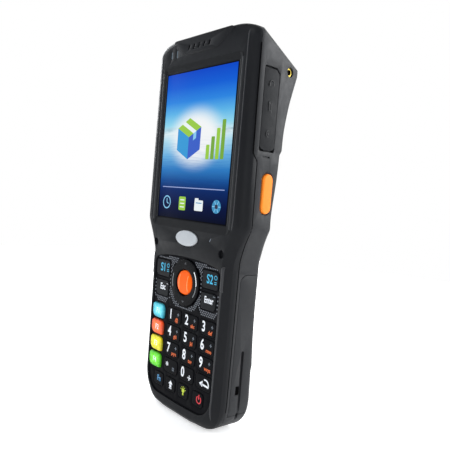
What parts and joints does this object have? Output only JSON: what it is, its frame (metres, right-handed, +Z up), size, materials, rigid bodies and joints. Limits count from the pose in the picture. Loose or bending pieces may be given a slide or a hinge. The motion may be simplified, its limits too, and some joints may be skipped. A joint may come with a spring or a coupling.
{
  "type": "portable barcode data terminal",
  "caption": "Handheld data terminal with a tall display, a keypad under it, orange scan keys, a slanted scan window and a rear battery cover with a latch.",
  "frame": {"origin": "middle of the base, on the plane the terminal stands on", "axes": "+Z up along the terminal to its scan window, +Y from the display to the back, +X to the right of the display"},
  "size_m": [0.0764, 0.0298, 0.1848],
  "materials": {
    "case_black": "fine moulded texture",
    "case_grey": "fine moulded texture",
    "soft_black": "matt",
    "flap_grey": "matt",
    "panel_black": "satin with a dotted texture round the ring",
    "glass_black": "clear cover glass over a lit screen",
    "window_dark": "dark red tint",
    "module_grey": "satin",
    "board_green": "solder mask",
    "steel": "brushed",
    "brass": "machined",
    "gold": "plated",
    "silver_badge": "satin silver",
    "silicone": "matt",
    "key_black": "satin",
    "key_cyan": "glossy",
    "key_orange": "glossy",
    "key_yellow": "glossy",
    "key_green": "glossy",
    "nav_black": "glossy",
    "scan_orange": "glossy",
    "button_orange": "satin",
    "cell_grey": "matt wrap",
    "socket_black": "plain"
  },
  "bodies": {
    "case": {"front_housing": "case_black", "rear_housing": "case_grey", "display_glass": "glass_black", "lcd_module": "module_grey", "keypad_bezel": "panel_black", "keypad_mat": "silicone", "keypad_board": "board_green", "key_domes": "steel", "badge_plate": "silver_badge", "led_windows": "socket_black", "earpiece": "socket_black", "microphone": "steel", "scan_window": "window_dark", "scan_engine": "module_grey", "main_board": "board_green", "shield_can": "steel", "usb_socket": "steel", "audio_jack": "socket_black", "power_jack": "socket_black", "side_switches": "socket_black", "battery_terminals": "socket_black", "thread_inserts": "brass", "case_screws": "steel", "housing_seal": "soft_black", "dock_contacts": "gold"},
    "battery": {"battery_cover": "case_grey", "battery_pack": "cell_grey"},
    "latch": {"battery_latch": "case_black"},
    "side_button_right": {"side_button_right": "button_orange"},
    "side_button_left": {"side_button_left": "button_orange"},
    "port_cover": {"port_cover": "flap_grey"},
    "nav_carrier": {"nav_carrier": "socket_black"},
    "nav_ring": {"nav_ring": "nav_black"},
    "scan_key": {"scan_key": "scan_orange"},
    "key_s1": {"key_s1": "key_black"},
    "key_s2": {"key_s2": "key_black"},
    "key_esc": {"key_esc": "key_black"},
    "key_enter": {"key_enter": "key_black"},
    "key_cyan": {"key_cyan": "key_cyan"},
    "key_orange": {"key_orange": "key_orange"},
    "key_yellow": {"key_yellow": "key_yellow"},
    "key_green": {"key_green": "key_green"},
    "key_1": {"key_1": "key_black"},
    "key_2": {"key_2": "key_black"},
    "key_3": {"key_3": "key_black"},
    "key_4": {"key_4": "key_black"},
    "key_5": {"key_5": "key_black"},
    "key_6": {"key_6": "key_black"},
    "key_7": {"key_7": "key_black"},
    "key_8": {"key_8": "key_black"},
    "key_9": {"key_9": "key_black"},
    "key_star": {"key_star": "key_black"},
    "key_0": {"key_0": "key_black"},
    "key_back": {"key_back": "key_black"},
    "key_fn": {"key_fn": "key_black"},
    "key_shift": {"key_shift": "key_black"},
    "key_light": {"key_light": "key_black"},
    "key_power": {"key_power": "key_black"}
  },
  "joints": [
    {"name": "battery_slide", "type": "slide", "parent": "case", "child": "battery", "axis": [0, 1, 0], "range_m": [0, 0.024]},
    {"name": "battery_latch_slide", "type": "slide", "parent": "battery", "child": "latch", "axis": [0, 0, -1], "range_m": [0, 0.002], "stiffness_N_per_m": 300},
    {"name": "button_right_press", "type": "slide", "parent": "case", "child": "side_button_right", "axis": [-1, 0, 0], "range_m": [0, 0.0008], "stiffness_N_per_m": 600},
    {"name": "button_left_press", "type": "slide", "parent": "case", "child": "side_button_left", "axis": [1, 0, 0], "range_m": [0, 0.0008], "stiffness_N_per_m": 600},
    {"name": "cover_flap_swing", "type": "hinge", "parent": "case", "child": "port_cover", "pos_m": [0.03695, -0.00289, 0.13005], "axis": [0, 1, 0], "range_deg": [0, 100]},
    {"name": "dpad_tilt_z", "type": "hinge", "parent": "case", "child": "nav_carrier", "pos_m": [0, -0.01169, 0.0658], "axis": [0, 0, 1], "range_deg": [-3, 3], "stiffness_Nm_per_rad": 0.05},
    {"name": "dpad_tilt_x", "type": "hinge", "parent": "nav_carrier", "child": "nav_ring", "pos_m": [0, -0.01169, 0.0658], "axis": [1, 0, 0], "range_deg": [-3, 3], "stiffness_Nm_per_rad": 0.05},
    {"name": "scan_key_press", "type": "slide", "parent": "case", "child": "scan_key", "axis": [0, 1, 0], "range_m": [0, 0.0006], "stiffness_N_per_m": 600},
    {"name": "key_s1_press", "type": "slide", "parent": "case", "child": "key_s1", "axis": [0, 1, 0], "range_m": [0, 0.0005], "stiffness_N_per_m": 500},
    {"name": "key_s2_press", "type": "slide", "parent": "case", "child": "key_s2", "axis": [0, 1, 0], "range_m": [0, 0.0005], "stiffness_N_per_m": 500},
    {"name": "key_esc_press", "type": "slide", "parent": "case", "child": "key_esc", "axis": [0, 1, 0], "range_m": [0, 0.0005], "stiffness_N_per_m": 500},
    {"name": "key_enter_press", "type": "slide", "parent": "case", "child": "key_enter", "axis": [0, 1, 0], "range_m": [0, 0.0005], "stiffness_N_per_m": 500},
    {"name": "key_cyan_press", "type": "slide", "parent": "case", "child": "key_cyan", "axis": [0, 1, 0], "range_m": [0, 0.0005], "stiffness_N_per_m": 500},
    {"name": "key_orange_press", "type": "slide", "parent": "case", "child": "key_orange", "axis": [0, 1, 0], "range_m": [0, 0.0005], "stiffness_N_per_m": 500},
    {"name": "key_yellow_press", "type": "slide", "parent": "case", "child": "key_yellow", "axis": [0, 1, 0], "range_m": [0, 0.0005], "stiffness_N_per_m": 500},
    {"name": "key_green_press", "type": "slide", "parent": "case", "child": "key_green", "axis": [0, 1, 0], "range_m": [0, 0.0005], "stiffness_N_per_m": 500},
    {"name": "key_1_press", "type": "slide", "parent": "case", "child": "key_1", "axis": [0, 1, 0], "range_m": [0, 0.0005], "stiffness_N_per_m": 500},
    {"name": "key_2_press", "type": "slide", "parent": "case", "child": "key_2", "axis": [0, 1, 0], "range_m": [0, 0.0005], "stiffness_N_per_m": 500},
    {"name": "key_3_press", "type": "slide", "parent": "case", "child": "key_3", "axis": [0, 1, 0], "range_m": [0, 0.0005], "stiffness_N_per_m": 500},
    {"name": "key_4_press", "type": "slide", "parent": "case", "child": "key_4", "axis": [0, 1, 0], "range_m": [0, 0.0005], "stiffness_N_per_m": 500},
    {"name": "key_5_press", "type": "slide", "parent": "case", "child": "key_5", "axis": [0, 1, 0], "range_m": [0, 0.0005], "stiffness_N_per_m": 500},
    {"name": "key_6_press", "type": "slide", "parent": "case", "child": "key_6", "axis": [0, 1, 0], "range_m": [0, 0.0005], "stiffness_N_per_m": 500},
    {"name": "key_7_press", "type": "slide", "parent": "case", "child": "key_7", "axis": [0, 1, 0], "range_m": [0, 0.0005], "stiffness_N_per_m": 500},
    {"name": "key_8_press", "type": "slide", "parent": "case", "child": "key_8", "axis": [0, 1, 0], "range_m": [0, 0.0005], "stiffness_N_per_m": 500},
    {"name": "key_9_press", "type": "slide", "parent": "case", "child": "key_9", "axis": [0, 1, 0], "range_m": [0, 0.0005], "stiffness_N_per_m": 500},
    {"name": "key_star_press", "type": "slide", "parent": "case", "child": "key_star", "axis": [0, 1, 0], "range_m": [0, 0.0005], "stiffness_N_per_m": 500},
    {"name": "key_0_press", "type": "slide", "parent": "case", "child": "key_0", "axis": [0, 1, 0], "range_m": [0, 0.0005], "stiffness_N_per_m": 500},
    {"name": "key_back_press", "type": "slide", "parent": "case", "child": "key_back", "axis": [0, 1, 0], "range_m": [0, 0.0005], "stiffness_N_per_m": 500},
    {"name": "key_fn_press", "type": "slide", "parent": "case", "child": "key_fn", "axis": [0, 1, 0], "range_m": [0, 0.0005], "stiffness_N_per_m": 500},
    {"name": "key_shift_press", "type": "slide", "parent": "case", "child": "key_shift", "axis": [0, 1, 0], "range_m": [0, 0.0005], "stiffness_N_per_m": 500},
    {"name": "key_light_press", "type": "slide", "parent": "case", "child": "key_light", "axis": [0, 1, 0], "range_m": [0, 0.0005], "stiffness_N_per_m": 500},
    {"name": "key_power_press", "type": "slide", "parent": "case", "child": "key_power", "axis": [0, 1, 0], "range_m": [0, 0.0005], "stiffness_N_per_m": 500}
  ]
}
